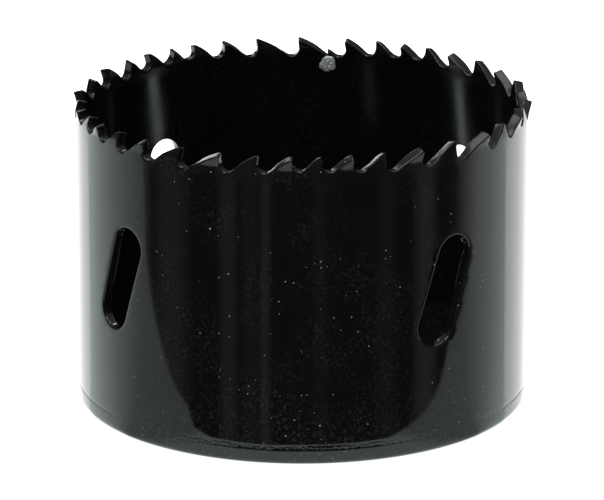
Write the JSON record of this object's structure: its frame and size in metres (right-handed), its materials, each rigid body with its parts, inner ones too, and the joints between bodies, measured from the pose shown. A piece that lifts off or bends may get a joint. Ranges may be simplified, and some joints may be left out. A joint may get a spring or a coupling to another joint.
{
  "type": "hole saw",
  "caption": "Hole saw: a black painted steel cup with set teeth round its rim and slanted slots in its wall, seated on a threaded base plate",
  "frame": {"origin": "centre of the base plate's underside, on the saw's axis", "axes": "+Z along the saw's axis, from the base plate to the teeth; +X and +Y each through the middle of a slot"},
  "size_m": [0.0646, 0.0644, 0.0442],
  "materials": {
    "black_paint": "gloss"
  },
  "bodies": {
    "root": {"toothed_shell": "black_paint", "base_plate": "black_paint"}
  },
  "joints": []
}
